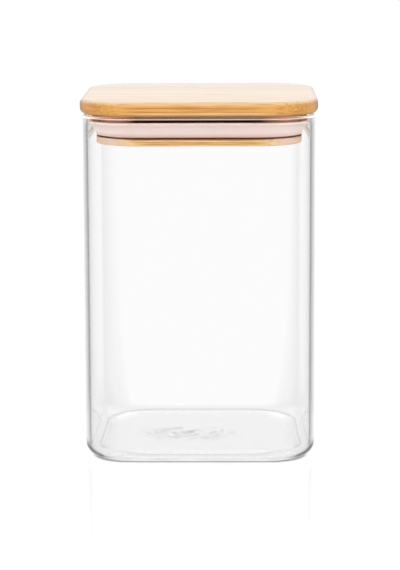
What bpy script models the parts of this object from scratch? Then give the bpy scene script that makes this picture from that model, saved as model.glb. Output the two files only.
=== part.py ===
"""Square glass storage jar with a laminated bamboo lid and a silicone seal.

Metres, +Z up. The origin is the middle of the face that the jar stands on.
The front faces -Y, and the strips of the lid run along X.
"""

import math

import bmesh
import bpy

# Glass jar
jar_width = 0.1000
jar_height = 0.1500
jar_corner_radius = 0.0190
wall = 0.0021
base_thickness = 0.0032
heel_radius = 0.0068
floor_radius = 0.0078

# Gap that is left between pieces that touch
contact_gap = 0.0003

# Bamboo lid: a board of three plies, routed to a plate above and a plug below
ply_thickness = 0.0062
lid_overhang = 0.0012
lid_corner_radius = 0.0220
lid_top_round = 0.0011
lid_bottom_round = 0.0022
plug_clearance = 0.0032
plug_corner_radius = 0.0200
plug_edge_round = 0.0006

# Groove that is routed round the plug for the seal
groove_depth = 0.0040
upper_flange_thickness = 0.0028
lower_flange_thickness = 0.0030

# Strips that each ply is glued up from
strip_width = 0.0225
narrowest_strip = 0.0060

# Silicone seal: a band on the neck of the plug, with a lip that flares up to the glass
seal_height = 0.0058
seal_band = 0.0022
lip_thickness = 0.0011
lip_rise = 0.0004
lip_root_height = 0.0022
lip_flare_power = 1.5

# Fineness of the round parts
corner_steps = 12
edge_steps = 6
round_steps = 4
lip_steps = 5
smooth_angle = math.radians(32)

# Finishes: colour, roughness, metallic
glass_finish = ((0.90, 0.94, 0.93), 0.03, 0.0)
silicone_finish = ((0.86, 0.74, 0.71), 0.45, 0.0)
bamboo_finish = ((0.74, 0.46, 0.19), 0.50, 0.0)
glass_index = 1.47
glass_transmission = 1.0
silicone_transmission = 0.4
bamboo_tone_shares = (1.00, 0.93, 1.06, 0.97, 1.03)

# Worked out from the sizes above
jar_half = jar_width / 2
mouth_half = jar_half - wall
mouth_radius = jar_corner_radius - wall
seat_height = jar_height + contact_gap
lid_half = jar_half + lid_overhang
plug_half = mouth_half - plug_clearance
neck_half = plug_half - groove_depth
neck_radius = plug_corner_radius - groove_depth


def clear_scene():
    """Remove what the file holds, so that the jar stands alone."""
    for thing in list(bpy.data.objects):
        bpy.data.objects.remove(thing, do_unlink=True)


def outline(half, radius, z):
    """Points of a square with rounded corners, anticlockwise seen from above."""
    radius = min(max(radius, 0), half)
    centre = half - radius
    points = []
    for corner in range(4):
        start = corner * math.pi / 2
        turn = start + math.pi / 4
        cx = math.copysign(centre, math.cos(turn))
        cy = math.copysign(centre, math.sin(turn))
        for step in range(corner_steps + 1):
            angle = start + math.pi / 2 * step / corner_steps
            points.append((cx + radius * math.cos(angle), cy + radius * math.sin(angle), z))
    return points


def edge_arc(half, radius, z, size, start, end, steps):
    """Outlines round an edge of the given size, whose arc is centred size inside half at height z."""
    rings = []
    for step in range(steps + 1):
        angle = start + (end - start) * step / steps
        inset = size * (1 - math.cos(angle))
        rings.append(outline(half - inset, radius - inset, z + size * math.sin(angle)))
    return rings


def skin(rings, is_loop):
    """Closed surface through the outlines, capped at both ends or joined end to end."""
    bm = bmesh.new()
    rows = [[bm.verts.new(point) for point in ring] for ring in rings]
    pairs = list(zip(rows, rows[1:]))
    if is_loop:
        pairs.append((rows[-1], rows[0]))
    else:
        bm.faces.new(list(reversed(rows[0])))
        bm.faces.new(rows[-1])
    for low, high in pairs:
        for k in range(len(low)):
            n = (k + 1) % len(low)
            bm.faces.new((low[k], low[n], high[n], high[k]))
    return bm


def finished(name, bm, finish, tone=1.0, transmission=0.0):
    """Put the shape into a named object with its own material, shaded smooth where it is round."""
    mesh = bpy.data.meshes.new(name)
    bm.to_mesh(mesh)
    bm.free()
    mesh.shade_smooth()
    mesh.set_sharp_from_angle(angle=smooth_angle)
    thing = bpy.data.objects.new(name, mesh)
    bpy.context.collection.objects.link(thing)
    colour, roughness, metallic = finish
    material = bpy.data.materials.new(name)
    material.use_nodes = True
    shader = material.node_tree.nodes["Principled BSDF"]
    shader.inputs["Base Color"].default_value = [share * tone for share in colour] + [1]
    shader.inputs["Roughness"].default_value = roughness
    shader.inputs["Metallic"].default_value = metallic
    shader.inputs["Transmission Weight"].default_value = transmission
    shader.inputs["IOR"].default_value = glass_index
    mesh.materials.append(material)
    return thing


def make_jar():
    """Blown glass: heel, outer wall, fire-rounded rim, inner wall and floor in one skin."""
    rim = wall / 2
    heel = min(heel_radius, jar_corner_radius)
    floor = min(floor_radius, mouth_radius)
    rings = edge_arc(jar_half, jar_corner_radius, heel, heel, -math.pi / 2, 0, edge_steps)
    rings += edge_arc(jar_half, jar_corner_radius, jar_height - rim, rim, 0, math.pi, edge_steps)
    floor_height = base_thickness + floor
    rings += edge_arc(mouth_half, mouth_radius, floor_height, floor, 0, -math.pi / 2, edge_steps)
    return finished("jar_body", skin(rings, False), glass_finish, 1.0, glass_transmission)


def plate_board():
    """Top ply: a plate whose upper edge is eased and whose lower edge is rounded more."""
    low_round = min(lid_bottom_round, ply_thickness / 2)
    top_round = min(lid_top_round, ply_thickness / 2)
    shoulder = ply_thickness - top_round
    rings = edge_arc(lid_half, lid_corner_radius, low_round, low_round, -math.pi / 2, 0, round_steps)
    rings += edge_arc(lid_half, lid_corner_radius, shoulder, top_round, 0, math.pi / 2, round_steps)
    return skin(rings, False)


def middle_board(low, high):
    """Middle ply: the upper flange of the plug, with the neck of the groove below it."""
    flange = high - upper_flange_thickness
    return skin([outline(neck_half, neck_radius, low),
                 outline(neck_half, neck_radius, flange),
                 outline(plug_half, plug_corner_radius, flange),
                 outline(plug_half, plug_corner_radius, high)], False)


def bottom_board(low, high):
    """Bottom ply: the lower flange of the plug, with the neck of the groove above it."""
    flange = low + lower_flange_thickness
    edge = min(plug_edge_round, lower_flange_thickness / 2)
    rings = edge_arc(plug_half, plug_corner_radius, low + edge, edge, -math.pi / 2, 0, round_steps)
    return skin(rings + [outline(plug_half, plug_corner_radius, flange),
                         outline(neck_half, neck_radius, flange),
                         outline(neck_half, neck_radius, high)], False)


def glue_lines(half, start):
    """Places along Y where strips end: a strip apart each way from start, with no sliver at the sides."""
    lines = {-half, half}
    place = start
    while place < half - narrowest_strip:
        lines |= {-place, place}
        place += strip_width
    return sorted(lines)


def saw(board, place, keep_above):
    """Cut a board along the line y = place, and close the cut."""
    side = -1 if keep_above else 1
    cut = bmesh.ops.bisect_plane(board, geom=board.verts[:] + board.edges[:] + board.faces[:],
                                 plane_co=(0, place, 0), plane_no=(0, side, 0), clear_outer=True)
    edges = [part for part in cut["geom_cut"] if isinstance(part, bmesh.types.BMEdge)]
    bmesh.ops.contextual_create(board, geom=edges)


def make_strips(name, board, half, start, lid):
    """Saw a board into its glued strips, numbered from the front, and hang them on the lid."""
    lines = glue_lines(half, start)
    for number, (front, back) in enumerate(zip(lines, lines[1:]), 1):
        strip = board.copy()
        if front > -half:
            saw(strip, front + contact_gap / 2, True)
        if back < half:
            saw(strip, back - contact_gap / 2, False)
        bmesh.ops.recalc_face_normals(strip, faces=strip.faces[:])
        tone = bamboo_tone_shares[number % len(bamboo_tone_shares)]
        thing = finished(f"{name}_strip_{number}", strip, bamboo_finish, tone)
        thing.parent = lid
    board.free()


def make_seal(groove_top, lid):
    """Ring whose band sits on the neck, and whose lip flares up and out to the glass."""
    inner = neck_half + contact_gap
    inner_radius = neck_radius + contact_gap
    top = groove_top - contact_gap
    low = top - seal_height
    tip = top + lip_rise
    lip_half = mouth_half - contact_gap
    lip_radius = mouth_radius - contact_gap
    bend = lip_thickness / 2
    rings = [outline(inner, inner_radius, low)]
    for step in range(lip_steps + 1):
        share = step / lip_steps
        flare = share ** lip_flare_power
        rings.append(outline(plug_half + (lip_half - plug_half) * flare,
                             plug_corner_radius + (lip_radius - plug_corner_radius) * flare,
                             low + (tip - bend - low) * share))
    rings += edge_arc(lip_half, lip_radius, tip - bend, bend, 0, math.pi, round_steps)[1:]
    root = plug_half - lip_thickness
    root_radius = plug_corner_radius - lip_thickness
    rings.append(outline(root, root_radius, low + lip_root_height))
    rings.append(outline(inner + seal_band, inner_radius + seal_band, low + lip_root_height))
    rings.append(outline(inner + seal_band, inner_radius + seal_band, top))
    rings.append(outline(inner, inner_radius, top))
    ring = finished("seal_ring", skin(rings, True), silicone_finish, 1.0, silicone_transmission)
    ring.parent = lid


def make_lid():
    """The lid's pieces hang on one empty, where the plate sits over the rim."""
    lid = bpy.data.objects.new("lid", None)
    lid.location = (0, 0, seat_height)
    bpy.context.collection.objects.link(lid)
    middle_top = -contact_gap
    middle_low = middle_top - ply_thickness
    bottom_top = middle_low - contact_gap
    bottom_low = bottom_top - ply_thickness
    make_strips("lid_top", plate_board(), lid_half, strip_width / 2, lid)
    make_strips("lid_middle", middle_board(middle_low, middle_top), plug_half, 0, lid)
    make_strips("lid_bottom", bottom_board(bottom_low, bottom_top), plug_half, strip_width / 2, lid)
    make_seal(middle_top - upper_flange_thickness, lid)


clear_scene()
make_jar()
make_lid()
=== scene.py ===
# %% [markdown]
# # A square glass storage jar with a bamboo lid
#
# The real object has three things to look at: a clear jar, a pale bamboo lid, and a
# milky silicone seal that the jar's mouth squeezes. The CAD frame already holds their
# true sizes and their one movement, the lid that lifts off. This lesson dresses that
# frame: finer surfaces, a finish for each material, and a quiet studio.

# %% Start and load the frame
import math

import bmesh
import bpy
import numpy as np
from mathutils import Matrix


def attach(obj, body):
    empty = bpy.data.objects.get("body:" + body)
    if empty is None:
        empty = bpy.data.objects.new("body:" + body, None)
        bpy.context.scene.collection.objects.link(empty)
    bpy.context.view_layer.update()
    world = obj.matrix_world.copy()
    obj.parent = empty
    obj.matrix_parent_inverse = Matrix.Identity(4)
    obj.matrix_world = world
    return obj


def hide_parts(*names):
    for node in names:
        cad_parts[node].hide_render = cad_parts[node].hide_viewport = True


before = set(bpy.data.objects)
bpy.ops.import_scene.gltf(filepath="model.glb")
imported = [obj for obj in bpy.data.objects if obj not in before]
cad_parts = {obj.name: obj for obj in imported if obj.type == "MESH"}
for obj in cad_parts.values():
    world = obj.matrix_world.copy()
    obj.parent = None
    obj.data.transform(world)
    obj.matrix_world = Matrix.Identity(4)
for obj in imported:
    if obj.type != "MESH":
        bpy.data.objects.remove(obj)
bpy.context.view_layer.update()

# %% [markdown]
# ## The sizes the pieces share
#
# All sizes are in metres. They repeat the frame's own, so that each finer surface lies
# where its solid does. Only the jar's base and a few small roundings differ by a little,
# and were set until they drew the lines seen in the photograph. The jar is a square with
# generous round corners, and nearly every other piece follows the same outline, a little
# larger or smaller.

# %% Sizes
jar_half = 0.0500
jar_height = 0.1500
jar_corner = 0.0190
wall = 0.0021
rim = wall / 2
base_thickness = 0.0027
heel = 0.0062
floor_round = 0.0036
floor_corner = 0.0260
mouth_half = jar_half - wall
mouth_corner = jar_corner - wall
outer = (jar_half, jar_corner)
mouth = (mouth_half, mouth_corner)
gap = 0.0003
seat = jar_height + gap
ply = 0.0062
lid_half = 0.0512
lid_corner = 0.0220
plug_half = 0.0447
plug_corner = 0.0200
groove = 0.0040
neck_half = plug_half - groove
neck_corner = plug_corner - groove
strip_width = 0.0225
print("the mouth is", round(2 * mouth_half, 4), "wide and the plug", round(2 * plug_half, 4))

# %% [markdown]
# ## One outline for every piece
#
# Every piece here is a rounded square swept up a profile. So one function gives the
# points of rounded squares: as many as there are rows in the profile, all at once. The
# two parameters of the surface are the place round the square and the row of the profile.

# %% Rounded squares
quarter = math.pi / 2
corner_points = 28
side_points = 22


def round_places():
    """Corner angle and straight share for each point round the square, anticlockwise."""
    turn = np.linspace(0, quarter, corner_points)
    along = np.linspace(0, 1, side_points + 2)[1:-1]
    angle = np.concatenate([np.concatenate([turn + k * quarter, np.full(side_points, (k + 1) * quarter)])
                            for k in range(4)])
    share = np.tile(np.concatenate([np.zeros(corner_points), along]), 4)
    corner = np.repeat(np.arange(4), corner_points + side_points)
    return angle, share, corner


def rounded_squares(half, corner_radius, height):
    """Rows of points: corner centre + radius times the unit vector of the angle, and a
    straight blend from one corner centre to the next along each side."""
    angle, share, corner = round_places()
    half, radius, height = (np.asarray(v, float)[:, None] for v in (half, corner_radius, height))
    radius = np.clip(radius, 0, half)
    centre = half - radius
    sign_x = np.array([1, -1, -1, 1])
    sign_y = np.array([1, 1, -1, -1])
    sx = sign_x[corner] * (1 - share) + sign_x[(corner + 1) % 4] * share
    sy = sign_y[corner] * (1 - share) + sign_y[(corner + 1) % 4] * share
    x = centre * sx + radius * np.cos(angle)
    y = centre * sy + radius * np.sin(angle)
    z = height + np.zeros_like(x)
    return np.stack([x, y, z], axis=-1)


print("points round each square:", len(round_places()[0]))

# %% [markdown]
# ## Profiles
#
# A profile is a list of rows, each with a half width, a corner radius and a height. Round
# edges are quarter or half circles, so one helper gives the rows of an arc. As the width
# shrinks, the corner radius shrinks by as much, and the wall stays even round the corner.

# %% Arcs and straights of a profile


def arc(half, corner_radius, height, size, start, end, steps):
    """Rows round an edge: inset = size (1 - cos a), rise = size sin a, for a from start to end."""
    a = np.linspace(start, end, steps)
    inset = size * (1 - np.cos(a))
    return np.stack([half - inset, corner_radius - inset, height + size * np.sin(a)])


def row(half, corner_radius, height):
    """One row as a column, ready to be joined to others."""
    return np.array([[half], [corner_radius], [height]])


def straight(a, b, steps):
    """Rows evenly spaced between two rows, without the first."""
    t = np.linspace(0, 1, steps + 1)[1:]
    return np.asarray(a)[:, None] * (1 - t) + np.asarray(b)[:, None] * t


def stretches(rows, steps):
    """Rows along straight stretches: from each given row to the next in so many even steps."""
    runs = [straight(a, b, count) for a, b, count in zip(rows, rows[1:], steps)]
    return np.concatenate([row(*rows[0])] + runs, axis=1)


print("insets round a 1 mm edge:", arc(0, 0, 0, 0.001, 0, quarter, 4)[0].round(5))

# %% [markdown]
# ## From points to pieces
#
# A grid of points becomes a mesh when each point is joined to its neighbours in the row
# and in the rows beside it. A finished piece then says which body it rides on and which
# solids of the frame it replaces, and it gets its finish.

# %% Turn a grid of points into a mesh


def grid_mesh(name, points, is_loop):
    """Mesh of a grid that is closed round each row: a point's number is its row times the
    points in a row plus its place. Ends are closed with a point in the middle, or the last
    row is joined to the first when the profile is a loop."""
    rows, round_count = points.shape[:2]
    vertices = points.reshape(-1, 3)
    index = np.arange(rows * round_count).reshape(rows, round_count)
    right = np.roll(index, -1, axis=1)
    low, high = (index, np.roll(index, -1, axis=0)) if is_loop else (index[:-1], index[1:])
    low_right, high_right = (right, np.roll(right, -1, axis=0)) if is_loop else (right[:-1], right[1:])
    faces = np.stack([low, low_right, high_right, high], axis=-1).reshape(-1, 4).tolist()
    if not is_loop:
        first, last = len(vertices), len(vertices) + 1
        vertices = np.vstack([vertices, points[0].mean(0), points[-1].mean(0)])
        faces += [[first, b, a] for a, b in zip(index[0].tolist(), right[0].tolist())]
        faces += [[last, a, b] for a, b in zip(index[-1].tolist(), right[-1].tolist())]
    mesh = bpy.data.meshes.new(name)
    mesh.from_pydata(vertices.tolist(), [], faces)
    mesh.validate()
    return mesh


# %% Place a piece on its body
sharp_edge = math.radians(40)


def place(name, mesh, body, finish, nodes):
    """Show a mesh as a piece: shaded smooth, with its finish, riding on its body."""
    thing = bpy.data.objects.new(name, mesh)
    bpy.context.collection.objects.link(thing)
    mesh.shade_smooth()
    mesh.set_sharp_from_angle(angle=sharp_edge)
    mesh.materials.append(finish)
    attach(thing, body)
    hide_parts(*nodes)
    print(name, "has", len(mesh.polygons), "faces")


# %% [markdown]
# ## Node helpers
#
# Materials are graphs of nodes. The first helper adds a node, sets it and links it. The
# others are the few steps that most masks take: some arithmetic, a ramp between two ends,
# a mix of two colours or levels. With them, each finish reads as a list of what it is
# made of.

# %% Add a node


def add(tree, kind, links=None, **values):
    """Add a node. Links give each socket, by name or number, a value or another node's
    output, and values set the node's properties."""
    node = tree.nodes.new(kind)
    for key, value in values.items():
        setattr(node, key, value)
    for socket, source in (links or {}).items():
        target = node.inputs[socket]
        if isinstance(source, bpy.types.NodeSocket):
            tree.links.new(source, target)
        else:
            target.default_value = source
    return node


# %% Arithmetic, ramps and mixes


def maths(tree, operation, a, b=0.0, c=0.0):
    """One step of arithmetic on up to three values."""
    return add(tree, "ShaderNodeMath", {0: a, 1: b, 2: c}, operation=operation).outputs[0]


def vectors(tree, operation, a, b=(0.0, 0.0, 0.0)):
    """One step of arithmetic on one or two vectors."""
    return add(tree, "ShaderNodeVectorMath", {0: a, 1: b}, operation=operation).outputs[0]


def length(tree, vector):
    """How long a vector is."""
    return add(tree, "ShaderNodeVectorMath", {0: vector}, operation="LENGTH").outputs["Value"]


def scaled(tree, colour, level):
    """A colour times a level."""
    return add(tree, "ShaderNodeVectorMath", {0: colour, "Scale": level}, operation="SCALE").outputs[0]


def ramp(tree, value, ends, levels=(0.0, 1.0), shape="LINEAR"):
    """A level that goes from the first of two levels to the second between two ends."""
    return add(tree, "ShaderNodeMapRange",
               {"Value": value, "From Min": ends[0], "From Max": ends[1],
                "To Min": levels[0], "To Max": levels[1]}, interpolation_type=shape).outputs[0]


def blend(tree, factor, a, b, way="MIX"):
    """Two colours mixed by a factor. Each is a socket or three numbers."""
    a, b = (c if isinstance(c, bpy.types.NodeSocket) else (*c, 1) for c in (a, b))
    return add(tree, "ShaderNodeMix", {0: factor, 6: a, 7: b}, data_type="RGBA", blend_type=way).outputs[2]


def mixed_level(tree, factor, a, b):
    """Two levels mixed by a factor."""
    return add(tree, "ShaderNodeMix", {0: factor, 2: a, 3: b}, data_type="FLOAT").outputs[0]


# %% Places and patterns


def noise(tree, where, scale, detail, roughness, twist=0.0):
    """Soft noise between 0 and 1 at each place."""
    return add(tree, "ShaderNodeTexNoise",
               {"Vector": where, "Scale": scale, "Detail": detail, "Roughness": roughness,
                "Distortion": twist}).outputs["Fac"]


def bumped(tree, height, strength, depth):
    """The surface's normal, tipped by a pattern of heights."""
    return add(tree, "ShaderNodeBump",
               {"Height": height, "Strength": strength, "Distance": depth}).outputs["Normal"]


def split(tree, vector):
    """The X, Y and Z of a vector."""
    return add(tree, "ShaderNodeSeparateXYZ", {0: vector}).outputs


def places(tree):
    """Object coordinates, whole and split into X, Y and Z."""
    where = add(tree, "ShaderNodeTexCoord").outputs["Object"]
    return where, split(tree, where)


# %% Start and finish a material or a group
white = (1.0, 1.0, 1.0)
black = (0.0, 0.0, 0.0)


def new_material(name):
    """An empty material with its output node."""
    material = bpy.data.materials.new(name)
    material.use_nodes = True
    tree = material.node_tree
    tree.nodes.clear()
    return material, tree, tree.nodes.new("ShaderNodeOutputMaterial")


def finished(owner, shader, out):
    """Send the shader to the output and say how many nodes the finish took."""
    owner.node_tree.links.new(shader.outputs[0], out.inputs["Surface"])
    print(owner.name, "has", len(owner.node_tree.nodes), "nodes")
    return owner


def new_group(name, takes, gives):
    """An empty group, with what it takes and gives. Each socket is a name and a kind."""
    group = bpy.data.node_groups.new(name, "ShaderNodeTree")
    for in_out, sockets in (("INPUT", takes), ("OUTPUT", gives)):
        for socket, kind in sockets:
            group.interface.new_socket(name=socket, in_out=in_out, socket_type=f"NodeSocket{kind}")
    return group, group.nodes.new("NodeGroupInput").outputs, group.nodes.new("NodeGroupOutput").inputs


# %% [markdown]
# ## Clear glass: colour
#
# Clear glass has no colour of its own: what shows is the room, bent by rim and corners. So
# its finish is a plain one, and masks add only what a simple studio can't give, each from
# its own short function. The first two belong to the jar's floor: a curl of thin grey
# smudges, as settled glass shows, and a painted shade along the fine line where floor meets
# wall, which the mesh marks with an attribute. The third is a painted reflection: the light
# brown that the rim mirrors from the wood.

# %% Colour of the jar's floor and rim
glass_colour = (0.985, 0.985, 0.985)
curl_middle = (-0.0060, -0.0010, 0.0)
curl_spread = (40.0, 62.0, 0.0)
curl_fade = (0.3, 1.0)
curl_heights = (base_thickness + 0.0004, base_thickness + 0.0008)
curl_scale = 110.0
curl_twist = 2.2
curl_band = (0.48, 0.62)
curl_strength = 0.60
# Painted shade along the crease where floor meets wall.
crease_shade_tone = (0.58, 0.58, 0.58)
# Painted reflection: the rim's upper part takes the light brown of the wood.
rim_reflection_tone = (0.90, 0.64, 0.44)
rim_reflection_heights = (0.14945, 0.14965)


def floor_curl(tree, where, height):
    """Glass colour with dark twisted noise, times a fade outwards and a fade upwards."""
    spread = vectors(tree, "MULTIPLY", vectors(tree, "SUBTRACT", where, curl_middle), curl_spread)
    central = ramp(tree, length(tree, spread), curl_fade, (1.0, 0.0))
    low = ramp(tree, height, curl_heights, (1.0, 0.0))
    dark = ramp(tree, noise(tree, where, curl_scale, 2.0, 0.5, curl_twist), curl_band, (0.0, curl_strength))
    shade = maths(tree, "MULTIPLY", maths(tree, "MULTIPLY", central, low), dark)
    return blend(tree, shade, glass_colour, black)


def glass_tone(tree, where, height):
    """The floor's curl, then a painted grey shade along its crease, then a painted reflection of brown wood
    on the rim.
    """
    crease = add(tree, "ShaderNodeAttribute", attribute_name="crease").outputs["Fac"]
    creased = blend(tree, crease, floor_curl(tree, where, height), crease_shade_tone)
    return blend(tree, ramp(tree, height, rim_reflection_heights), creased, rim_reflection_tone)


# %% [markdown]
# ## Clear glass: dark edges
#
# The upright edges of a glass jar are dark. The light there was turned back inside one
# wall, and it comes from where a room is dark. This room is nearly even, so such light is
# darkened as it leaves: Layer Weight tells how squarely it leaves, and Light Path tells
# what the ray has met. A second mask, for the camera alone, draws the dark line that runs
# round the foot's corners, where the heel turns away from the eye.

# %% Darker where light was turned back
edge_facing = (0.193, 0.250)
edge_dark = 0.27
edge_power = 2.0
edge_heights = (0.5 * heel, heel)
foot_facing = (0.43, 0.62)
foot_heights = (0.0058, 0.0090)
foot_sides = (0.0360, 0.0420)
foot_dark = 0.02


def edge_level(tree, height, path, facing):
    """1 for most light. For light that entered one skin and was mirrored last, above the
    heel: the square of a ramp from edge_dark to 1 over Facing, which is 0 for light that
    leaves squarely and 1 for light that grazes the skin."""
    dark = maths(tree, "POWER", ramp(tree, facing, edge_facing, (edge_dark, 1.0)), edge_power)
    one_skin = maths(tree, "COMPARE", path["Transmission Depth"], 1.0, 0.5)
    turned_back = maths(tree, "MULTIPLY", one_skin, path["Is Reflection Ray"])
    above_heel = maths(tree, "MULTIPLY", turned_back, ramp(tree, height, edge_heights))
    return mixed_level(tree, above_heel, 1.0, dark)


def foot_level(tree, spot, path, facing):
    """1 for most light, down to foot_dark for the camera where three ramps meet: a grazing
    view, a low height and a place far to the side."""
    low = ramp(tree, spot["Z"], foot_heights, (1.0, 0.0))
    aside = ramp(tree, maths(tree, "ABSOLUTE", spot["X"]), foot_sides)
    line = maths(tree, "MULTIPLY", ramp(tree, facing, foot_facing), low)
    corner_line = maths(tree, "MULTIPLY", line, aside)
    seen = maths(tree, "MULTIPLY", corner_line, path["Is Camera Ray"])
    return mixed_level(tree, seen, 1.0, foot_dark)


# %% [markdown]
# ## Clear glass: glow
#
# Two kinds of light get lost in a render of glass. The rounded rim mirrors the lit wood
# and the lamp in a line thinner than a few rays can catch, so a narrow band of it glows
# warmly for the camera. And light that has turned more often than the render follows
# would end in black, so what is left of it is given back as an even grey glow.

# %% Glow of the rim and of lost light
most_turns = 14
lost_light = 0.80
rim_glow = 0.72
rim_glow_tone = (1.0, 0.72, 0.62)
glow_height = 0.14921
glow_half = 0.00024


def rim_shine(tree, height, path):
    """Colour of the glow: rim_glow within glow_half of glow_height, plus lost_light past
    the last turn, warm at the rim and white elsewhere."""
    band = maths(tree, "COMPARE", height, glow_height, glow_half)
    at_rim = maths(tree, "MULTIPLY", band, path["Is Camera Ray"])
    last_turn = maths(tree, "GREATER_THAN", path["Ray Depth"], most_turns + 0.5)
    lost = maths(tree, "MULTIPLY", last_turn, lost_light)
    level = maths(tree, "MULTIPLY_ADD", at_rim, rim_glow, lost)
    return scaled(tree, blend(tree, at_rim, white, rim_glow_tone), level)


# %% Glass finish
glass_index = 1.50
ripple_scale = 38.0
ripple_strength = 0.05
ripple_depth = 0.0006
glass_mirror = (0.08, 0.08, 0.08)


def make_glass():
    """Clear glass with slight ripples, its masks in the colour and the glow."""
    material, tree, out = new_material("clear_glass")
    where, spot = places(tree)
    path = add(tree, "ShaderNodeLightPath").outputs
    facing = add(tree, "ShaderNodeLayerWeight", {"Blend": 0.5}).outputs["Facing"]
    darkness = maths(tree, "MULTIPLY", edge_level(tree, spot["Z"], path, facing),
                     foot_level(tree, spot, path, facing))
    ripples = noise(tree, where, ripple_scale, 1.0, 0.4)
    glass = add(tree, "ShaderNodeBsdfPrincipled",
                {"Base Color": scaled(tree, glass_tone(tree, where, spot["Z"]), darkness),
                 "Roughness": 0.0, "IOR": glass_index, "Transmission Weight": 1.0,
                 "Specular Tint": (*glass_mirror, 1),
                 "Emission Color": rim_shine(tree, spot["Z"], path), "Emission Strength": 1.0,
                 "Normal": bumped(tree, ripples, ripple_strength, ripple_depth)})
    return finished(material, glass, out)


clear_glass = make_glass()

# %% [markdown]
# ## The jar
#
# A blown square jar is thicker at its base and never quite even there: the glass is drawn
# thin up the walls and settles in waves on the floor. The profile runs from the middle of
# the underside, round the heel, up the outside, over the fire-rounded rim, down the
# inside and across the floor. Near the flat middle, above and below, the corners of the
# squares get other radii than the walls have, because glass pools there.

# %% Outside of the jar
under_rows = 26
heel_rows = 18
wall_rows = 40
rim_rows = 17
foot_corner = 0.0165
push_up = 0.0004
push_power = 24
pole_share = 0.02


def jar_outside():
    """Rows from the middle of the underside over the rim. The underside rises by push_up
    times (1 - t to the push_power) squared, with t from the middle out, and round the heel
    the corner radius goes from foot_corner to jar_corner with the square of the way."""
    t = 1 - (1 - pole_share) * np.linspace(1, 0, under_rows) ** 2
    under = np.stack([t * (jar_half - heel), t * foot_corner, push_up * (1 - t ** push_power) ** 2])
    turn = arc(*outer, heel, heel, -quarter, 0, heel_rows)
    turn[1] = jar_corner + (foot_corner - jar_corner) * np.linspace(1, 0, heel_rows) ** 2
    rise = straight((*outer, heel), (*outer, jar_height - rim), wall_rows)
    over = arc(*outer, jar_height - rim, rim, 0, math.pi, rim_rows)
    return np.concatenate([under, turn[:, 1:], rise, over[:, 1:]], axis=1)


print("rows outside and over the rim:", jar_outside().shape[1])


# %% Inside of the jar
round_rows = 23
floor_rows = 29
pool_power = 1.5
crease_turn = 0.20
crease_width = 0.17


def jar_inside():
    """Rows down from the rim to the middle of the floor. Round the turn to the floor the
    corner radius goes from mouth_corner to floor_corner with the pool_power of the way."""
    low = base_thickness + floor_round
    fall = straight((*mouth, jar_height - rim), (*mouth, low), wall_rows)
    turn = arc(*mouth, low, floor_round, 0, -quarter, round_rows + 1)
    turn[1] = mouth_corner + (floor_corner - mouth_corner) * np.linspace(0, 1, round_rows + 1) ** pool_power
    u = np.linspace(1, pole_share, floor_rows + 1)
    reach = mouth_half - floor_round
    across = np.stack([u * reach, u * floor_corner, np.full_like(u, base_thickness)])
    return np.concatenate([fall, turn[:, 1:], across[:, 1:]], axis=1)


# The marks say where the glass gets its painted crease shade.
def crease_shade_marks(rows):
    """A mark for each row: a bell over the angle that the turn to the floor has still to
    go, with its top at crease_turn, and 0 for all other rows."""
    still_to_go = np.linspace(quarter, 0, round_rows + 1)[1:]
    marks = np.zeros(rows)
    marks[-floor_rows - round_rows:-floor_rows] = np.exp(-((still_to_go - crease_turn) / crease_width) ** 2)
    return marks


print("rows inside:", jar_inside().shape[1])

# %% Waves in the floor
floor_bells = [(-0.018, 0.003, 0.0050, 0.0040, 0.00004), (-0.005, 0.001, 0.0040, 0.0040, 0.00005),
               (0.007, -0.003, 0.0050, 0.0050, 0.00007), (0.001, -0.010, 0.0080, 0.0060, -0.00004)]
wave_fade = 5


def floor_waves(x, y):
    """Height of the settled glass: the sum of a few bells, fading to 0 at the floor's edge.
    A bell has a middle in x and y, a width, a depth and a height, and is its height times
    the exponential of minus the squared ways from its middle, in widths and depths."""
    rise = sum(high * np.exp(-((x - cx) / wide) ** 2 - ((y - cy) / deep) ** 2)
               for cx, cy, wide, deep, high in floor_bells)
    edge = np.clip(1 - np.maximum(abs(x), abs(y)) / (mouth_half - floor_round), 0, 1)
    return rise * np.clip(edge * wave_fade, 0, 1)


print("the glass in the middle of the floor lies", round(float(floor_waves(0.0, 0.0)), 6), "higher")

# %% Jar


def make_jar():
    """The whole jar in one closed skin, its floor waved and its crease marked."""
    profile = np.concatenate([jar_outside(), jar_inside()], axis=1)
    points = rounded_squares(*profile)
    floor = points[-floor_rows:]
    floor[..., 2] += floor_waves(floor[..., 0], floor[..., 1])
    mesh = grid_mesh("glass_jar", points, False)
    ends = [0.0, 0.0]
    marks = np.concatenate([np.repeat(crease_shade_marks(len(points)), points.shape[1]), ends])
    mesh.attributes.new("crease", "FLOAT", "POINT").data.foreach_set("value", marks)
    place("glass_jar", mesh, "jar", clear_glass, ["jar_body"])


make_jar()

# %% [markdown]
# ## Bamboo
#
# Bamboo is bundles of dark fibre, finer than a hair, set in pale pith, all running the
# same way. Sawn along, they show as streaks. Sawn across, at the corners and ends, the
# same bundles show as dots. So the pattern is made in the solid, long along X and small
# across, and each face of a strip shows its own cut through it. Each strip comes from
# another cane, so each gets its own tone. Three plies use it, so it is a group.

# %% Strips, fibres and growth lines
strip_levels = (0.90, 1.06)
bundle_stretch = (60.0, 1250.0, 1450.0)
bundle_edge = (0.18, 0.52)
bundle_jitter = 0.95
drift_stretch = (18.0, 60.0, 60.0)
drift_size = 0.0006
line_gaps = ((0.3, 0.6), (0.55, 1.0))
line_ends = ((0.0230, 0.0320), (1.0, 0.15))
upper_half = 0.00050
lower_half = 0.00042


def stretched_noise(tree, where, stretch, detail, roughness):
    """Noise at a place that was first multiplied by a stretch for each direction."""
    return noise(tree, vectors(tree, "MULTIPLY", where, stretch), 1.0, detail, roughness)


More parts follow.
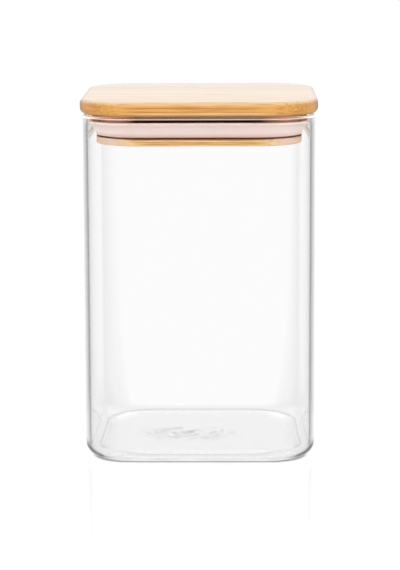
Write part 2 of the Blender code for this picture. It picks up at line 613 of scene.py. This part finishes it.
def strip_level(tree, takes, across):
    """A random level for each strip: its number is its way from the first line over the
    strip's width, rounded down, plus the ply's seed."""
    way = maths(tree, "SUBTRACT", across, takes["First Line"])
    number = maths(tree, "FLOOR", maths(tree, "DIVIDE", way, strip_width))
    seeded = maths(tree, "ADD", number, takes["Seed"])
    chance = add(tree, "ShaderNodeTexWhiteNoise", {"W": seeded}, noise_dimensions="1D").outputs["Value"]
    return ramp(tree, chance, (0.0, 1.0), strip_levels)


def fibre_bundles(tree, where):
    """1 in the middle of each bundle and 0 between bundles."""
    cells = add(tree, "ShaderNodeTexVoronoi",
                {"Vector": vectors(tree, "MULTIPLY", where, bundle_stretch), "Scale": 1.0,
                 "Randomness": bundle_jitter})
    return ramp(tree, cells.outputs["Distance"], bundle_edge, (1.0, 0.0))


def growth_line(tree, height, line, half_thick):
    """1 at the line's height, and 0 from its half thickness on."""
    off_line = maths(tree, "ABSOLUTE", maths(tree, "SUBTRACT", height, line))
    return ramp(tree, off_line, (0.0, half_thick), (1.0, 0.0))


def growth_lines(tree, takes, fine):
    """Two dark lines along the ply's side that sway, break up and run out at the corners."""
    spot = split(tree, takes["Vector"])
    drift = stretched_noise(tree, takes["Vector"], drift_stretch, 3.0, 0.6)
    sway = maths(tree, "MULTIPLY", maths(tree, "SUBTRACT", drift, 0.5), drift_size)
    height = maths(tree, "ADD", spot["Z"], sway)
    lines = maths(tree, "MAXIMUM", growth_line(tree, height, takes["Upper Line"], upper_half),
                  growth_line(tree, height, takes["Lower Line"], lower_half))
    broken = maths(tree, "MULTIPLY", lines, ramp(tree, fine, *line_gaps))
    return maths(tree, "MULTIPLY", broken, ramp(tree, maths(tree, "ABSOLUTE", spot["X"]), *line_ends))


# %% Bamboo group
fine_stretch = (26.0, 1100.0, 1500.0)
broad_stretch = (7.0, 210.0, 560.0)
streak_band = ((0.46, 0.68), (0.0, 0.60))
bundle_share = 0.62
pale_pith = (0.810, 0.435, 0.098)
deep_pith = (0.650, 0.270, 0.042)
streak_tone = (0.540, 0.200, 0.028)
line_tone = (0.430, 0.145, 0.014)
bundle_tone = (0.400, 0.135, 0.020)
bamboo_gloss = (0.38, 0.56)


def make_bamboo_group():
    """A group that gives the colour, roughness and height of bamboo at a place in a board."""
    settings = [(name, "Float") for name in ("First Line", "Seed", "Upper Line", "Lower Line")]
    group, takes, gives = new_group("bamboo_fibres", [("Vector", "Vector")] + settings,
                                    [("Color", "Color"), ("Roughness", "Float"), ("Height", "Float")])
    where = takes["Vector"]
    fine = stretched_noise(group, where, fine_stretch, 4.0, 0.6)
    broad = stretched_noise(group, where, broad_stretch, 3.0, 0.55)
    bundles = fibre_bundles(group, where)
    pith = blend(group, fine, pale_pith, deep_pith)
    streaked = blend(group, ramp(group, broad, *streak_band), pith, streak_tone)
    lined = blend(group, growth_lines(group, takes, fine), streaked, line_tone)
    dotted = blend(group, maths(group, "MULTIPLY", bundles, bundle_share), lined, bundle_tone)
    toned = scaled(group, dotted, strip_level(group, takes, split(group, where)["Y"]))
    group.links.new(toned, gives["Color"])
    group.links.new(ramp(group, fine, (0.0, 1.0), bamboo_gloss), gives["Roughness"])
    group.links.new(maths(group, "SUBTRACT", fine, bundles), gives["Height"])
    print(group.name, "has", len(group.nodes), "nodes")
    return group


bamboo_fibres = make_bamboo_group()

# %% [markdown]
# ## What each ply's finish shares
#
# The plies are cut from the same stock, so each finish begins with the same fibres and
# ends in the same wood shader. They differ in where their glue and growth lines lie, in
# their stain, in their lacquer, and in the light and shade painted on them.

# %% Bamboo placed in a ply
grain_strength = 0.25
grain_depth = 0.00008
lacquer_gloss = 0.16
lacquer_index = 1.6
bare_mirror = (0.12, 0.12, 0.12)


def cane(tree, where, first_line, seed, upper_line, lower_line):
    """The bamboo group, set for one ply: where its first glue line lies along Y, which
    random tones it gets, and how high its growth lines are."""
    return add(tree, "ShaderNodeGroup",
               {"Vector": where, "First Line": first_line, "Seed": seed, "Upper Line": upper_line,
                "Lower Line": lower_line}, node_tree=bamboo_fibres).outputs


def wood(tree, colour, fibres, mirror, lacquer):
    """Wood with its grain as a bump, under as much lacquer as is given."""
    return add(tree, "ShaderNodeBsdfPrincipled",
               {"Base Color": colour, "Roughness": fibres["Roughness"], "Specular Tint": (*mirror, 1),
                "Coat Weight": lacquer, "Coat Roughness": lacquer_gloss, "Coat IOR": lacquer_index,
                "Normal": bumped(tree, fibres["Height"], grain_strength, grain_depth)})


def lesser_side(tree, where):
    """The smaller of |x| and |y|, which is large only near a corner."""
    sides = split(tree, vectors(tree, "ABSOLUTE", where))
    return maths(tree, "MINIMUM", sides["X"], sides["Y"])


# %% [markdown]
# ## The plate's finish
#
# The plate is lacquered and buffed: its flat top is glossier than its sides, and paler by a painted sheen.
# A pale line is painted along its lower edge, on the straight stretches: a painted highlight
# of the light from below. At its two ends the saw went across the fibres, and the plate
# darkens there: end grain, with painted shade where the ends turn away.

# %% Top ply
top_cane = (-strip_width / 2, 3.0, 0.1540, 0.1524)
lacquer_heights = (0.1548, 0.1560)
side_lacquer = 0.25
# Painted sheen: the flat top is made paler.
top_sheen_tone = (1.05, 1.35, 2.60)
# Painted highlight: a pale line along the plate's lower edge.
edge_highlight_height = 0.1516
edge_highlight_half = 0.0007
edge_highlight_share = 0.62
edge_highlight_tone = (0.96, 0.66, 0.33)
edge_highlight_sides = (0.0240, 0.0360)
# Darker ends: end grain, with painted shade where the ends turn away.
end_grain_shade_from = 0.0489
end_grain_shade_share = 0.95
end_grain_shade_tone = (0.25, 0.120, 0.060)


def painted_edge_highlight(tree, colour, where, height):
    """Colour with a painted highlight: a pale line along the lower edge, which fades towards the corners.
    """
    off_highlight = maths(tree, "ABSOLUTE", maths(tree, "SUBTRACT", height, edge_highlight_height))
    line = ramp(tree, off_highlight, (0.0, edge_highlight_half), (edge_highlight_share, 0.0))
    on_straight = ramp(tree, lesser_side(tree, where), edge_highlight_sides, (1.0, 0.0))
    return blend(tree, maths(tree, "MULTIPLY", line, on_straight), colour, edge_highlight_tone)


def end_grain_and_shade(tree, colour, across):
    """Colour that darkens over the last stretch to either end: end grain, with painted shade."""
    aside = maths(tree, "ABSOLUTE", across)
    near_end = ramp(tree, aside, (end_grain_shade_from, lid_half), (0.0, end_grain_shade_share))
    return blend(tree, near_end, colour, end_grain_shade_tone)


def make_top_bamboo():
    """Lacquered bamboo. The lacquer lies thick on the flat top and thin on the sides."""
    material, tree, out = new_material("bamboo_top")
    where, spot = places(tree)
    fibres = cane(tree, where, *top_cane)
    flat = ramp(tree, spot["Z"], lacquer_heights)
    colour = blend(tree, flat, fibres["Color"], top_sheen_tone, "MULTIPLY")
    colour = painted_edge_highlight(tree, colour, where, spot["Z"])
    colour = end_grain_and_shade(tree, colour, spot["X"])
    lacquer = ramp(tree, flat, (0.0, 1.0), (side_lacquer, 1.0))
    return finished(material, wood(tree, colour, fibres, white, lacquer), out)


top_bamboo = make_top_bamboo()

# %% [markdown]
# ## The plug's finish
#
# The two lower plies are left bare. The middle one is painted a dark red-brown all over:
# painted shade for the slot between rim and seal. The bottom one is stained pale. Along the
# top of the bottom ply, in the groove, a dark line is painted shade, and the round corners
# of both plies are painted paler as a sheen.

# %% Middle and bottom ply
middle_cane = (0.0, 17.0, 0.1488, 0.1478)
bottom_cane = (-strip_width / 2, 41.0, 0.1390, 0.1383)
plug_core = plug_half - plug_corner
# Painted sheen on the plug's round corners: where it begins and how strong it is.
corner_sheen_sides = (plug_core + 0.0015, plug_core + 0.0130)
corner_sheen_share = 0.95
# Painted shade in the groove along the top of the bottom ply.
groove_shade_heights = (0.13975, 0.13995)
groove_shade_share = 0.85
groove_shade_tone = (0.340, 0.095, 0.018)
# Painted shade: the middle ply is darkened all over to the slot's deep shade.
slot_shade_tone = (0.070, 0.008, 0.008)
# Painted sheen on the middle ply's round corners.
middle_corner_sheen = (0.90, 0.48, 0.37)
pale = (1.12, 1.60, 3.90)
# Painted sheen on the bottom ply's round corners.
bottom_corner_sheen = (0.62, 0.455, 0.355)


def corner_sheen(tree, colour, where, corner_tone):
    """Colour that turns to a painted sheen at the corners as the lesser side grows past the core."""
    round_corner = ramp(tree, lesser_side(tree, where), corner_sheen_sides, (0.0, corner_sheen_share))
    return blend(tree, round_corner, colour, corner_tone)


def make_middle_bamboo():
    """Bamboo painted dark as shade, with a painted sheen on its corners."""
    material, tree, out = new_material("bamboo_middle")
    where = places(tree)[0]
    fibres = cane(tree, where, *middle_cane)
    slot_shaded = blend(tree, 1.0, fibres["Color"], slot_shade_tone, "MULTIPLY")
    colour = corner_sheen(tree, slot_shaded, where, middle_corner_sheen)
    return finished(material, wood(tree, colour, fibres, bare_mirror, 0.0), out)


def make_bottom_bamboo():
    """Bamboo bleached pale, darkened above a height as painted groove shade, with a painted sheen on its
    corners.
    """
    material, tree, out = new_material("bamboo_bottom")
    where, spot = places(tree)
    fibres = cane(tree, where, *bottom_cane)
    bleached = blend(tree, 1.0, fibres["Color"], pale, "MULTIPLY")
    groove_shade = ramp(tree, spot["Z"], groove_shade_heights, (0.0, groove_shade_share))
    groove_shaded = blend(tree, groove_shade, bleached, groove_shade_tone)
    colour = corner_sheen(tree, groove_shaded, where, bottom_corner_sheen)
    return finished(material, wood(tree, colour, fibres, bare_mirror, 0.0), out)


middle_bamboo = make_middle_bamboo()
bottom_bamboo = make_bottom_bamboo()

# %% [markdown]
# ## The lid's strips
#
# The board is routed as one block after gluing, so its edge runs smoothly from strip to
# strip. Here too a whole ply is surfaced first, then sawn along its glue lines. A hair of
# space at each line shows as the fine dark joint.

# %% Saw a ply into strips
glue_hair = 0.00002


def sawn(mesh, front, back):
    """A copy of the mesh between two places along Y, with its cuts closed."""
    bm = bmesh.new()
    bm.from_mesh(mesh)
    for place_y, side in ((front, -1), (back, 1)):
        if place_y is not None:
            cut = bmesh.ops.bisect_plane(bm, geom=bm.verts[:] + bm.edges[:] + bm.faces[:],
                                         plane_co=(0, place_y, 0), plane_no=(0, side, 0), clear_outer=True)
            edges = [part for part in cut["geom_cut"] if isinstance(part, bmesh.types.BMEdge)]
            bmesh.ops.holes_fill(bm, edges=edges)
    bmesh.ops.recalc_face_normals(bm, faces=bm.faces[:])
    strip = bpy.data.meshes.new(mesh.name)
    bm.to_mesh(strip)
    bm.free()
    return strip


def lay_strips(name, profile, line_numbers, finish):
    """Surface a ply, saw it along its inner glue lines, which lie at whole or half numbers
    of strip widths from the middle, and place each strip."""
    whole = grid_mesh(name, rounded_squares(*profile), False)
    lines = [number * strip_width for number in line_numbers]
    for number, (front, back) in enumerate(zip([None] + lines, lines + [None]), 1):
        strip = sawn(whole, None if front is None else front + glue_hair,
                     None if back is None else back - glue_hair)
        node = f"{name}_strip_{number}"
        place(f"bamboo_{node}", strip, "lid", finish, [node])
    bpy.data.meshes.remove(whole)


# %% [markdown]
# ## Plate, middle and bottom ply
#
# The plate lies on the rim. The middle and bottom ply make the plug below it, and the
# groove that holds the seal is cut half from each. Every ply is a profile from the middle
# of its underside, out, up and back to the middle of its top.

# %% Plate
pole = (0.002, 0.001)
top_round = 0.0016
low_round = 0.0024
edge_rows = 10
plate_top = seat + ply

plate = np.concatenate([
    stretches([(*pole, seat), (lid_half - low_round, lid_corner - low_round, seat)], [8]),
    arc(lid_half, lid_corner, seat + low_round, low_round, -quarter, 0, edge_rows)[:, 1:],
    arc(lid_half, lid_corner, plate_top - top_round, top_round, 0, quarter, edge_rows),
    straight((lid_half - top_round, lid_corner - top_round, plate_top), (*pole, plate_top), 12)], axis=1)
lay_strips("lid_top", plate, [-1.5, -0.5, 0.5, 1.5], top_bamboo)

# %% Plug
plug = (plug_half, plug_corner)
neck = (neck_half, neck_corner)
upper_flange = 0.0028
lower_flange = 0.0030
middle_top = seat - gap
middle_low = middle_top - ply
bottom_top = middle_low - gap
bottom_low = bottom_top - ply
groove_top = middle_top - upper_flange
groove_low = bottom_low + lower_flange
plug_edge = 0.0006

middle_ply = stretches([(*pole, middle_low), (*neck, middle_low), (*neck, groove_top), (*plug, groove_top),
                        (*plug, middle_top), (*pole, middle_top)], [4, 2, 2, 3, 4])
lay_strips("lid_middle", middle_ply, [-1, 0, 1], middle_bamboo)

bottom_ply = np.concatenate([
    stretches([(*pole, bottom_low), (plug_half - plug_edge, plug_corner - plug_edge, bottom_low)], [8]),
    arc(*plug, bottom_low + plug_edge, plug_edge, -quarter, 0, 7)[:, 1:],
    stretches([(*plug, bottom_low + plug_edge), (*plug, groove_low), (*neck, groove_low),
               (*neck, bottom_top), (*pole, bottom_top)], [3, 2, 2, 4])[:, 1:]], axis=1)
lay_strips("lid_bottom", bottom_ply, [-1.5, -0.5, 0.5, 1.5], bottom_bamboo)

# %% [markdown]
# ## The silicone seal
#
# The seal is a soft, milky ring with a thin lip that flares up to the glass. Light goes a
# little way into silicone and comes out again, which is what makes it look soft, so the
# finish scatters light under the surface. The band's foot and the lip sit in the shade of
# the plies and are a little darker.

# %% Silicone
milk_warm = (0.830, 0.635, 0.590)
milk_pale = (0.870, 0.700, 0.665)
milk_shade = (0.500, 0.270, 0.185)
band_shade = ((0.1412, 0.1430), (0.55, 0.0))
lip_shade = ((0.1450, 0.1464), (0.0, 0.20))
bloom_scale = 85.0
milk_gloss = 0.42
milk_index = 1.41
milk_reach = (1.0, 0.8, 0.75)
milk_depth = 0.0035
wave_strength = 0.1
wave_depth = 0.0001


def make_silicone():
    """Milky silicone: soft noise between two tones, shaded low and at the lip."""
    material, tree, out = new_material("milky_silicone")
    where, spot = places(tree)
    bloom = noise(tree, where, bloom_scale, 3.0, 0.5)
    shade = maths(tree, "MAXIMUM", ramp(tree, spot["Z"], *band_shade), ramp(tree, spot["Z"], *lip_shade))
    colour = blend(tree, shade, blend(tree, bloom, milk_warm, milk_pale), milk_shade)
    skin = add(tree, "ShaderNodeBsdfPrincipled",
               {"Base Color": colour, "Roughness": milk_gloss, "IOR": milk_index,
                "Subsurface Weight": 1.0, "Subsurface Radius": milk_reach, "Subsurface Scale": milk_depth,
                "Normal": bumped(tree, bloom, wave_strength, wave_depth)})
    return finished(material, skin, out)


milky_silicone = make_silicone()

# %% Seal
seal_height = 0.0058
seal_band = 0.0022
lip_thickness = 0.0015
lip_rise = 0.0006
lip_root = 0.0022
lip_rows = 14
tip_rows = 11
flare_power = 1.5


def seal_profile():
    """Rows round the ring's section: from the band's foot up a lip that flares with the
    flare_power of its way up, over its round tip, and back down inside."""
    inner, inner_corner = neck_half + gap, neck_corner + gap
    band = (inner + seal_band, inner_corner + seal_band)
    top = groove_top - gap
    low = top - seal_height
    tip = top + lip_rise
    lip_half, lip_corner = mouth_half - gap, mouth_corner - gap
    bend = lip_thickness / 2
    share = np.linspace(0, 1, lip_rows)
    flare = share ** flare_power
    flank = np.stack([plug_half + (lip_half - plug_half) * flare,
                      plug_corner + (lip_corner - plug_corner) * flare,
                      low + (tip - bend - low) * share])
    over = arc(lip_half, lip_corner, tip - bend, bend, 0, math.pi, tip_rows)[:, 1:]
    root = row(plug_half - lip_thickness, plug_corner - lip_thickness, low + lip_root)
    return np.concatenate([row(inner, inner_corner, low), flank, over, root, row(*band, low + lip_root),
                           row(*band, top), row(inner, inner_corner, top)], axis=1)


place("silicone_seal", grid_mesh("silicone_seal", rounded_squares(*seal_profile()), True), "lid",
      milky_silicone, ["seal_ring"])

# %% [markdown]
# ## Backdrops
#
# Glass is drawn by its room. A white backdrop faces each of the jar's four sides, and the
# room between the backdrops is darker. Straight walls let the white through, and rounded
# corners bend light from between the backdrops, which draws the jar's soft grey edges.
# The same pattern serves the room and the sheet below the jar, so it is a group: how far
# a direction turns from the nearest side sets its level.

# %% Brightness by direction
room_levels = ((0, 1.00), (5, 1.00), (8, 0.94), (11, 0.90), (14, 0.90), (18, 0.86),
               (23, 0.82), (30, 0.80), (38, 0.85), (45, 0.95))
most_degrees = 45


def set_stops(stops, levels):
    """Grey stops of a colour ramp, each at its degrees over the most degrees. The ramp has
    its first and last stop already."""
    stops.interpolation = "EASE"
    for degrees, _ in levels[1:-1]:
        stops.elements.new(degrees / most_degrees)
    for stop, (_, level) in zip(stops.elements, levels):
        stop.color = (level, level, level, 1)


def make_backdrops():
    """A group that turns a direction on the ground into a level: the angle to the nearest
    side is the arc tangent of the smaller of |x| and |y| over the larger."""
    group, takes, gives = new_group("backdrops", [("Vector", "Vector")], [("Level", "Float")])
    way = split(group, vectors(group, "ABSOLUTE", takes["Vector"]))
    small = maths(group, "MINIMUM", way["X"], way["Y"])
    large = maths(group, "MAXIMUM", way["X"], way["Y"])
    angle = maths(group, "ARCTAN2", small, large)
    share = maths(group, "DIVIDE", angle, math.radians(most_degrees))
    levels = add(group, "ShaderNodeValToRGB", {0: share})
    set_stops(levels.color_ramp, room_levels)
    group.links.new(levels.outputs["Color"], gives["Level"])
    print(group.name, "has", len(group.nodes), "nodes")
    return group


backdrops = make_backdrops()

# %% [markdown]
# ## What kind of ray asks
#
# Sheet and room show different things to different rays. The camera sees a plain white,
# what glass and gloss show the eye has the backdrops in it, and light that lights the wood
# and silicone is plain again. Little scattered light gets through glass in a render of
# this kind, so what does get through is made up for by a stronger white.

# %% Rays
glass_makeup = 2.10


def glassy_look(tree, path):
    """1 for what glass and gloss show the eye, and 0 once light has scattered off a surface."""
    bent = maths(tree, "MAXIMUM", path["Is Glossy Ray"], path["Is Transmission Ray"])
    return maths(tree, "MULTIPLY", bent, maths(tree, "LESS_THAN", path["Diffuse Depth"], 0.5))


def mixed_shader(tree, factor, a, b):
    """Two shaders mixed by a factor."""
    return add(tree, "ShaderNodeMixShader", {0: factor, 1: a.outputs[0], 2: b.outputs[0]})


def by_ray(tree, path, for_light, for_glass, for_eyes):
    """One of three shaders, by the kind of ray that asks."""
    unseen = mixed_shader(tree, glassy_look(tree, path), for_light, for_glass)
    return mixed_shader(tree, path["Is Camera Ray"], unseen, for_eyes)


# %% [markdown]
# ## Floor
#
# The jar stands on a glossy white sheet. A sheet that is lit enough to look pure white
# would throw too much light on the jar, so most of what the camera sees of it is a glow,
# and only a part of its white takes the light and the jar's shadow. Glass sees the
# backdrops on it, darker near the jar by a painted shade. A thin soft painted shadow lies
# where the foot touches the sheet, and a faint reflection lies over all of it.

# %% Sheet under the jar
sheet_core = (jar_half - jar_corner, jar_half - jar_corner, 0.0)
# Painted shade on the sheet under and by the jar, as glass sees it.
near_shade_level = 0.84
near_reach = 0.016
# Painted contact shadow: its darkest level.
contact_shadow_level = 0.12
contact_out = 0.0012
contact_half = 0.0026
sheet_glow = 0.80
sheet_grey = 0.28
plain_grey = (0.80, 0.80, 0.80)
sheet_gloss = 0.06
sheet_index = 1.42
sheet_far = 6.0


def from_core(tree, where):
    """|x| and |y| less half the jar's square core, and never below 0."""
    inset = vectors(tree, "SUBTRACT", vectors(tree, "ABSOLUTE", where), sheet_core)
    return vectors(tree, "MAXIMUM", inset)


def painted_contact_shadow(tree, reach):
    """A painted contact shadow: 1 on the open sheet, falling softly to its darkest just outside the foot's
    flat.
    """
    off_foot = maths(tree, "ABSOLUTE", maths(tree, "SUBTRACT", reach, jar_corner - heel + contact_out))
    return ramp(tree, off_foot, (0.0, contact_half), (contact_shadow_level, 1.0), "SMOOTHSTEP")


def sheet_for_glass(tree, outside, reach):
    """A glow under and by the jar, darkened there as painted shade, and of the backdrops' level further
    out.
    """
    level = add(tree, "ShaderNodeGroup", {"Vector": outside}, node_tree=backdrops).outputs["Level"]
    away = ramp(tree, reach, (jar_corner, jar_corner + near_reach))
    return add(tree, "ShaderNodeEmission", {"Strength": mixed_level(tree, away, near_shade_level, level)})


def sheet_for_eyes(tree, contact_shade):
    """A glow and a grey that takes shadows, both darker along the painted contact shadow."""
    glow = add(tree, "ShaderNodeEmission", {"Strength": maths(tree, "MULTIPLY", contact_shade, sheet_glow)})
    shadowed = add(tree, "ShaderNodeBsdfDiffuse", {"Color": maths(tree, "MULTIPLY", contact_shade, sheet_grey)})
    return add(tree, "ShaderNodeAddShader", {0: glow.outputs[0], 1: shadowed.outputs[0]})


# %% Floor


def make_sheet():
    """White sheet: a glow for eyes, backdrops for glass, a plain white for light, and gloss."""
    material, tree, out = new_material("white_sheet")
    path = add(tree, "ShaderNodeLightPath").outputs
    outside = from_core(tree, places(tree)[0])
    reach = length(tree, outside)
    plain = add(tree, "ShaderNodeBsdfDiffuse", {"Color": (*plain_grey, 1)})
    makeup = add(tree, "ShaderNodeEmission", {"Strength": glass_makeup})
    for_light = mixed_shader(tree, path["Is Transmission Ray"], plain, makeup)
    sheet = by_ray(tree, path, for_light, sheet_for_glass(tree, outside, reach),
                   sheet_for_eyes(tree, painted_contact_shadow(tree, reach)))
    gloss = add(tree, "ShaderNodeBsdfGlossy", {"Color": (*white, 1), "Roughness": sheet_gloss})
    share = add(tree, "ShaderNodeFresnel", {"IOR": sheet_index}).outputs[0]
    return finished(material, mixed_shader(tree, share, sheet, gloss), out)


def make_floor():
    """One large square at height 0."""
    mesh = bpy.data.meshes.new("floor")
    corners = [(x * sheet_far, y * sheet_far, 0) for x, y in ((-1, -1), (1, -1), (1, 1), (-1, 1))]
    mesh.from_pydata(corners, [], [(0, 1, 2, 3)])
    mesh.materials.append(make_sheet())
    floor = bpy.data.objects.new("floor", mesh)
    bpy.context.collection.objects.link(floor)


make_floor()

# %% [markdown]
# ## The room
#
# Above the sheet the backdrops go on for a short way, and a white ceiling lies over them.
# Scattered light sees one even white, so the wood and silicone are lit plainly.

# %% World
even_light = 1.00
ceiling_level = 1.50
ceiling_heights = (0.25, 0.60)


def make_room():
    """World: backdrops low down and a ceiling above for glass and gloss, plain for the rest."""
    world = bpy.data.worlds.new("studio_room")
    bpy.context.scene.world = world
    world.use_nodes = True
    tree = world.node_tree
    tree.nodes.clear()
    out = tree.nodes.new("ShaderNodeOutputWorld")
    path = add(tree, "ShaderNodeLightPath").outputs
    way = add(tree, "ShaderNodeTexCoord").outputs["Generated"]
    level = add(tree, "ShaderNodeGroup", {"Vector": way}, node_tree=backdrops).outputs["Level"]
    high = ramp(tree, split(tree, way)["Z"], ceiling_heights)
    strengths = (mixed_level(tree, path["Is Transmission Ray"], even_light, glass_makeup),
                 mixed_level(tree, high, level, ceiling_level), 1.0)
    for_light, for_glass, for_eyes = (
        add(tree, "ShaderNodeBackground", {"Color": (*white, 1), "Strength": strength})
        for strength in strengths)
    finished(world, by_ray(tree, path, for_light, for_glass, for_eyes), out)


make_room()

# %% [markdown]
# ## The lamp
#
# One long, low soft box stands in front and above. It is long so that its reflection runs
# the whole width of the glass rim and of the lid's front edge as one bright line.

# %% Lamp
front_place = (0.0, -1.00, 0.55)
front_width = 1.10
front_height = 0.12
front_watts = 3.4


def soft_box(name, place_at, width, height, watts):
    """A soft lamp of the given width and height that faces the jar's mouth."""
    lamp = bpy.data.lights.new(name, "AREA")
    lamp.shape = "RECTANGLE"
    lamp.size = width
    lamp.size_y = height
    lamp.energy = watts
    thing = bpy.data.objects.new(name, lamp)
    bpy.context.collection.objects.link(thing)
    x, y, z = np.subtract(place_at, (0, 0, jar_height))
    turn = math.atan2(x, -y)
    tilt = math.atan2(math.hypot(x, y), z)
    thing.location = place_at
    thing.rotation_euler = (tilt, 0, turn)
    print(name, "is tilted by", round(math.degrees(tilt), 1), "degrees")


soft_box("front_lamp", front_place, front_width, front_height, front_watts)

# %% [markdown]
# ## Light paths
#
# Light that enters the base of a real jar can run along inside the glass to the far side.
# It is turned back many times on the way, so the limits on turns are raised, or the heel
# would go black. The glass gives its lost light back past this same limit.

# %% Light path limits
cycles = bpy.context.scene.cycles
cycles.max_bounces = most_turns
cycles.transmission_bounces = most_turns
cycles.glossy_bounces = most_turns
print("light may turn", cycles.max_bounces, "times")

# %% [markdown]
# ## Camera
#
# The photograph was taken from a metre away, a little above the lid. The place and lens
# below were worked out from the corners and edges of the jar in it.

# %% Camera
image_height = 570
sensor_height = 36.0
focal_pixels = 2263.56
camera_place = (0.01562, -1.00036, 0.24207)
look_down = math.radians(9.759)
turn_left = math.radians(0.911)
roll = math.radians(-0.223)


def make_camera():
    """Camera a metre in front, turned, tipped and rolled as the photograph's was. The
    picture is higher than it is wide, so the sensor's size is taken as its height."""
    data = bpy.data.cameras.new("camera")
    data.sensor_width = sensor_height
    data.lens = focal_pixels * sensor_height / image_height
    data.dof.use_dof = False
    camera = bpy.data.objects.new("camera", data)
    bpy.context.collection.objects.link(camera)
    turned = (Matrix.Rotation(turn_left, 4, "Z")
              @ Matrix.Rotation(quarter - look_down, 4, "X")
              @ Matrix.Rotation(roll, 4, "Z"))
    camera.matrix_world = Matrix.Translation(camera_place) @ turned
    bpy.context.scene.camera = camera
    print("lens of", round(data.lens, 1), "mm")


make_camera()
bpy.context.scene.view_settings.view_transform = "Standard"
